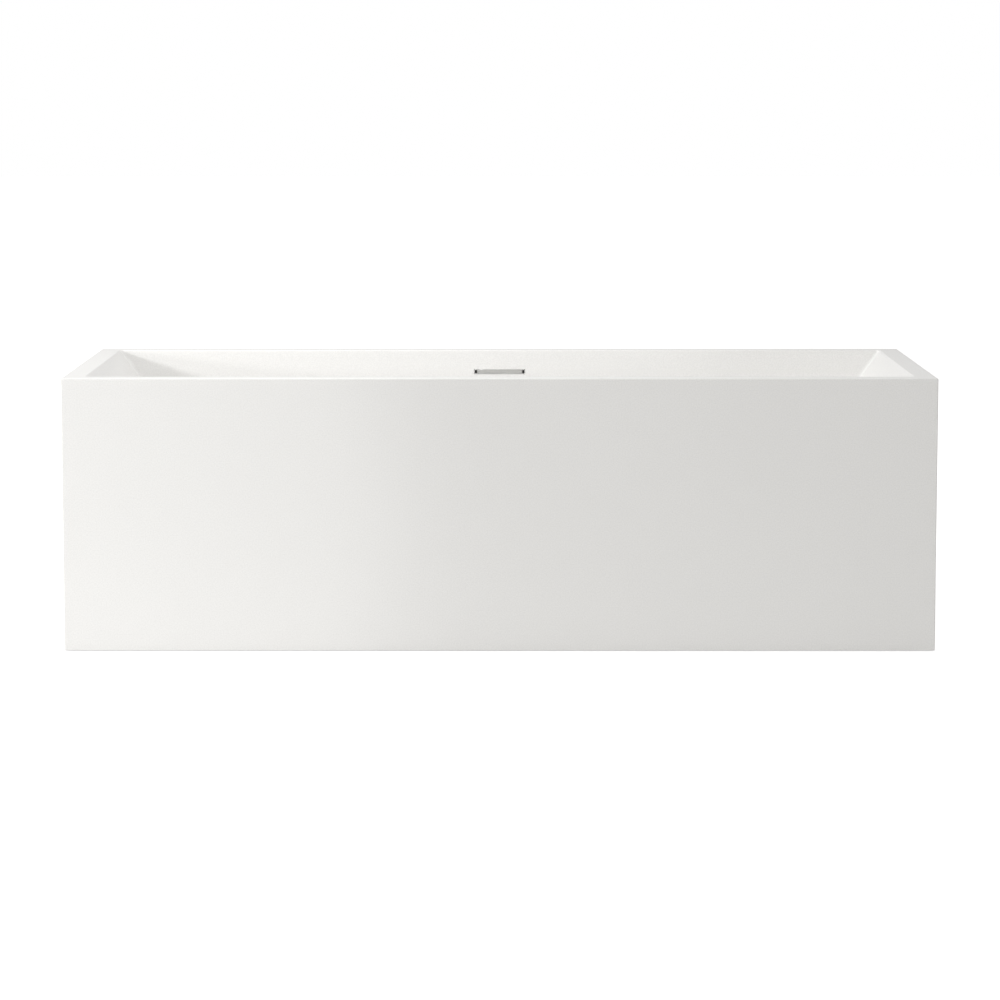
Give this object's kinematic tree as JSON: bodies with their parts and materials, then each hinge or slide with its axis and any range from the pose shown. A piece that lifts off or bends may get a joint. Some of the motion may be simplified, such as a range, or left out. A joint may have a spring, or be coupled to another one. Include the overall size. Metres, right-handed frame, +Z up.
{
  "type": "freestanding bathtub",
  "caption": "Rectangular freestanding soaking tub with sloping ends, flat rim, slotted overflow, push waste and a steel under-frame on screw feet.",
  "frame": {"origin": "centre of the footprint, on the floor under the feet", "axes": "+X along the tub to the right as seen from the front, +Y towards the back wall that holds the overflow, +Z up"},
  "size_m": [1.7, 0.75, 0.535],
  "materials": {
    "acrylic": "satin",
    "plywood": "matte",
    "timber": "matte",
    "galvanised": "matte",
    "zinc": "satin",
    "chrome": "polished",
    "stainless": "satin",
    "brass": "satin",
    "rubber": "matte",
    "pipe_plastic": "satin",
    "foot_plastic": "matte"
  },
  "bodies": {
    "tub": {"basin": "acrylic", "front_panel": "acrylic", "back_panel": "acrylic", "left_end_panel": "acrylic", "right_end_panel": "acrylic", "rim_batten_front": "timber", "rim_batten_back": "timber", "base_board": "plywood", "long_rail_front": "galvanised", "long_rail_back": "galvanised", "drain_flange": "chrome", "drain_top_gasket": "rubber", "drain_bottom_gasket": "rubber", "drain_locknut": "brass", "click_cartridge": "brass", "waste_tee": "pipe_plastic", "tailpiece": "chrome", "tailpiece_nut": "chrome", "overflow_trim": "stainless", "overflow_gasket": "rubber", "overflow_box": "pipe_plastic", "overflow_screw_left": "zinc", "overflow_screw_right": "zinc", "overflow_pipe": "pipe_plastic", "overflow_nut_top": "pipe_plastic", "overflow_nut_bottom": "pipe_plastic", "corner_strip_front_left": "acrylic", "panel_bracket_front_left": "galvanised", "corner_strip_back_left": "acrylic", "panel_bracket_back_left": "galvanised", "corner_strip_front_right": "acrylic", "panel_bracket_front_right": "galvanised", "corner_strip_back_right": "acrylic", "panel_bracket_back_right": "galvanised", "cross_rail_left": "galvanised", "foot_nut_front_left": "zinc", "foot_nut_back_left": "zinc", "cross_rail_middle": "galvanised", "foot_nut_front_middle": "zinc", "foot_nut_back_middle": "zinc", "cross_rail_right": "galvanised", "foot_nut_front_right": "zinc", "foot_nut_back_right": "zinc"},
    "stopper": {"stopper_cap": "chrome", "stopper_seal": "rubber", "stopper_plunger": "brass"},
    "foot_front_left": {"foot_pad_front_left": "foot_plastic"},
    "stud_front_left": {"foot_stud_front_left": "zinc"},
    "foot_back_left": {"foot_pad_back_left": "foot_plastic"},
    "stud_back_left": {"foot_stud_back_left": "zinc"},
    "foot_front_middle": {"foot_pad_front_middle": "foot_plastic"},
    "stud_front_middle": {"foot_stud_front_middle": "zinc"},
    "foot_back_middle": {"foot_pad_back_middle": "foot_plastic"},
    "stud_back_middle": {"foot_stud_back_middle": "zinc"},
    "foot_front_right": {"foot_pad_front_right": "foot_plastic"},
    "stud_front_right": {"foot_stud_front_right": "zinc"},
    "foot_back_right": {"foot_pad_back_right": "foot_plastic"},
    "stud_back_right": {"foot_stud_back_right": "zinc"}
  },
  "joints": [
    {"name": "stopper_lift", "type": "slide", "parent": "tub", "child": "stopper", "axis": [0, 0, 1], "range_m": [0, 0.009]},
    {"name": "foot_slide_front_left", "type": "slide", "parent": "tub", "child": "foot_front_left", "axis": [0, 0, -1], "range_m": [0, 0.014]},
    {"name": "stud_turn_front_left", "type": "hinge", "parent": "foot_front_left", "child": "stud_front_left", "pos_m": [-0.45, -0.26, 0], "axis": [0, 0, -1], "range_deg": [0, 2880]},
    {"name": "foot_slide_back_left", "type": "slide", "parent": "tub", "child": "foot_back_left", "axis": [0, 0, -1], "range_m": [0, 0.014]},
    {"name": "stud_turn_back_left", "type": "hinge", "parent": "foot_back_left", "child": "stud_back_left", "pos_m": [-0.45, 0.26, 0], "axis": [0, 0, -1], "range_deg": [0, 2880]},
    {"name": "foot_slide_front_middle", "type": "slide", "parent": "tub", "child": "foot_front_middle", "axis": [0, 0, -1], "range_m": [0, 0.014]},
    {"name": "stud_turn_front_middle", "type": "hinge", "parent": "foot_front_middle", "child": "stud_front_middle", "pos_m": [-0.12, -0.26, 0], "axis": [0, 0, -1], "range_deg": [0, 2880]},
    {"name": "foot_slide_back_middle", "type": "slide", "parent": "tub", "child": "foot_back_middle", "axis": [0, 0, -1], "range_m": [0, 0.014]},
    {"name": "stud_turn_back_middle", "type": "hinge", "parent": "foot_back_middle", "child": "stud_back_middle", "pos_m": [-0.12, 0.26, 0], "axis": [0, 0, -1], "range_deg": [0, 2880]},
    {"name": "foot_slide_front_right", "type": "slide", "parent": "tub", "child": "foot_front_right", "axis": [0, 0, -1], "range_m": [0, 0.014]},
    {"name": "stud_turn_front_right", "type": "hinge", "parent": "foot_front_right", "child": "stud_front_right", "pos_m": [0.45, -0.26, 0], "axis": [0, 0, -1], "range_deg": [0, 2880]},
    {"name": "foot_slide_back_right", "type": "slide", "parent": "tub", "child": "foot_back_right", "axis": [0, 0, -1], "range_m": [0, 0.014]},
    {"name": "stud_turn_back_right", "type": "hinge", "parent": "foot_back_right", "child": "stud_back_right", "pos_m": [0.45, 0.26, 0], "axis": [0, 0, -1], "range_deg": [0, 2880]}
  ],
  "couplings": [
    {"joint": "stud_turn_front_left", "follows": "foot_slide_front_left", "rad_per_m": 3590.4},
    {"joint": "stud_turn_back_left", "follows": "foot_slide_back_left", "rad_per_m": 3590.4},
    {"joint": "stud_turn_front_middle", "follows": "foot_slide_front_middle", "rad_per_m": 3590.4},
    {"joint": "stud_turn_back_middle", "follows": "foot_slide_back_middle", "rad_per_m": 3590.4},
    {"joint": "stud_turn_front_right", "follows": "foot_slide_front_right", "rad_per_m": 3590.4},
    {"joint": "stud_turn_back_right", "follows": "foot_slide_back_right", "rad_per_m": 3590.4}
  ]
}
